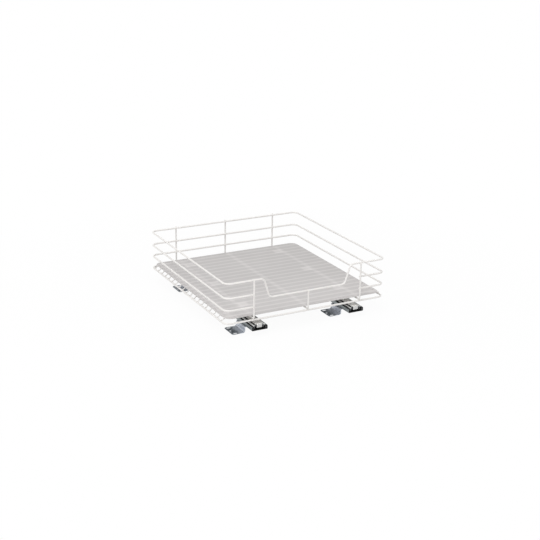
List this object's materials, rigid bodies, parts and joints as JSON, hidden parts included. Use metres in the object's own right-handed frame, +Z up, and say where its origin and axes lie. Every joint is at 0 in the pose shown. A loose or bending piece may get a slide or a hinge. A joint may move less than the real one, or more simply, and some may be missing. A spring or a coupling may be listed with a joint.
{
  "type": "pull-out under sink organizer",
  "caption": "Low wire basket with a dipped front and a loose floor liner that pulls out on flat-lying ball-bearing slides, whose Z-shaped feet screw to a cabinet floor.",
  "frame": {"origin": "on the cabinet floor, at the middle of the object's outline in plan", "axes": "+Z up, -Y towards the front that is pulled, +X to the right seen from the front"},
  "size_m": [0.5212, 0.5557, 0.1673],
  "materials": {
    "coated_wire": "smooth warm white coating on steel wire",
    "frosted_liner": "frosted, slightly see-through sheet",
    "slide_steel": "bright zinc plated, rolled",
    "bracket_steel": "blue-grey zinc plated",
    "clip_plastic": "moulded white",
    "cage_steel": "plain stamped",
    "ball_steel": "polished",
    "bumper_rubber": "matt black",
    "rivet_steel": "zinc plated",
    "screw_steel": "zinc plated"
  },
  "bodies": {
    "base": {"left_outer_member": "slide_steel", "right_outer_member": "slide_steel", "left_front_bracket": "bracket_steel", "left_rear_bracket": "bracket_steel", "right_front_bracket": "bracket_steel", "right_rear_bracket": "bracket_steel", "bracket_rivets": "rivet_steel", "left_closing_bumper": "bumper_rubber", "right_closing_bumper": "bumper_rubber"},
    "basket": {"bottom_rim": "coated_wire", "lower_rail": "coated_wire", "middle_rail": "coated_wire", "top_rail": "coated_wire", "left_frame_wire": "coated_wire", "centre_frame_wire": "coated_wire", "right_frame_wire": "coated_wire", "floor_wire_01": "coated_wire", "floor_wire_02": "coated_wire", "floor_wire_03": "coated_wire", "floor_wire_04": "coated_wire", "floor_wire_05": "coated_wire", "floor_wire_06": "coated_wire", "floor_wire_07": "coated_wire", "floor_wire_08": "coated_wire", "floor_wire_09": "coated_wire", "floor_wire_10": "coated_wire", "floor_wire_11": "coated_wire", "floor_wire_12": "coated_wire", "floor_wire_13": "coated_wire", "floor_wire_14": "coated_wire", "floor_wire_15": "coated_wire", "floor_wire_16": "coated_wire", "floor_wire_17": "coated_wire", "floor_wire_18": "coated_wire", "floor_wire_19": "coated_wire", "left_inner_member": "slide_steel", "right_inner_member": "slide_steel", "left_front_clip": "clip_plastic", "left_middle_clip": "clip_plastic", "left_rear_clip": "clip_plastic", "right_front_clip": "clip_plastic", "right_middle_clip": "clip_plastic", "right_rear_clip": "clip_plastic", "clip_screws": "screw_steel"},
    "left_middle": {"left_middle_member": "slide_steel"},
    "right_middle": {"right_middle_member": "slide_steel"},
    "left_outer_cage": {"left_outer_ball_cage": "cage_steel", "left_outer_balls": "ball_steel"},
    "right_outer_cage": {"right_outer_ball_cage": "cage_steel", "right_outer_balls": "ball_steel"},
    "left_inner_cage": {"left_inner_ball_cage": "cage_steel", "left_inner_balls": "ball_steel"},
    "right_inner_cage": {"right_inner_ball_cage": "cage_steel", "right_inner_balls": "ball_steel"},
    "liner": {"liner": "frosted_liner"}
  },
  "joints": [
    {"name": "basket_travel", "type": "slide", "parent": "base", "child": "basket", "axis": [0, -1, 0], "range_m": [0, 0.5]},
    {"name": "left_middle_travel", "type": "slide", "parent": "base", "child": "left_middle", "axis": [0, -1, 0], "range_m": [0, 0.25]},
    {"name": "left_outer_cage_travel", "type": "slide", "parent": "base", "child": "left_outer_cage", "axis": [0, -1, 0], "range_m": [0, 0.125]},
    {"name": "left_inner_cage_travel", "type": "slide", "parent": "base", "child": "left_inner_cage", "axis": [0, -1, 0], "range_m": [0, 0.375]},
    {"name": "right_middle_travel", "type": "slide", "parent": "base", "child": "right_middle", "axis": [0, -1, 0], "range_m": [0, 0.25]},
    {"name": "right_outer_cage_travel", "type": "slide", "parent": "base", "child": "right_outer_cage", "axis": [0, -1, 0], "range_m": [0, 0.125]},
    {"name": "right_inner_cage_travel", "type": "slide", "parent": "base", "child": "right_inner_cage", "axis": [0, -1, 0], "range_m": [0, 0.375]},
    {"name": "liner_lift", "type": "slide", "parent": "basket", "child": "liner", "axis": [0, 0, 1], "range_m": [0, 0.12]}
  ],
  "couplings": [
    {"joint": "left_middle_travel", "follows": "basket_travel", "ratio": 0.5},
    {"joint": "left_outer_cage_travel", "follows": "basket_travel", "ratio": 0.25},
    {"joint": "left_inner_cage_travel", "follows": "basket_travel", "ratio": 0.75},
    {"joint": "right_middle_travel", "follows": "basket_travel", "ratio": 0.5},
    {"joint": "right_outer_cage_travel", "follows": "basket_travel", "ratio": 0.25},
    {"joint": "right_inner_cage_travel", "follows": "basket_travel", "ratio": 0.75}
  ]
}
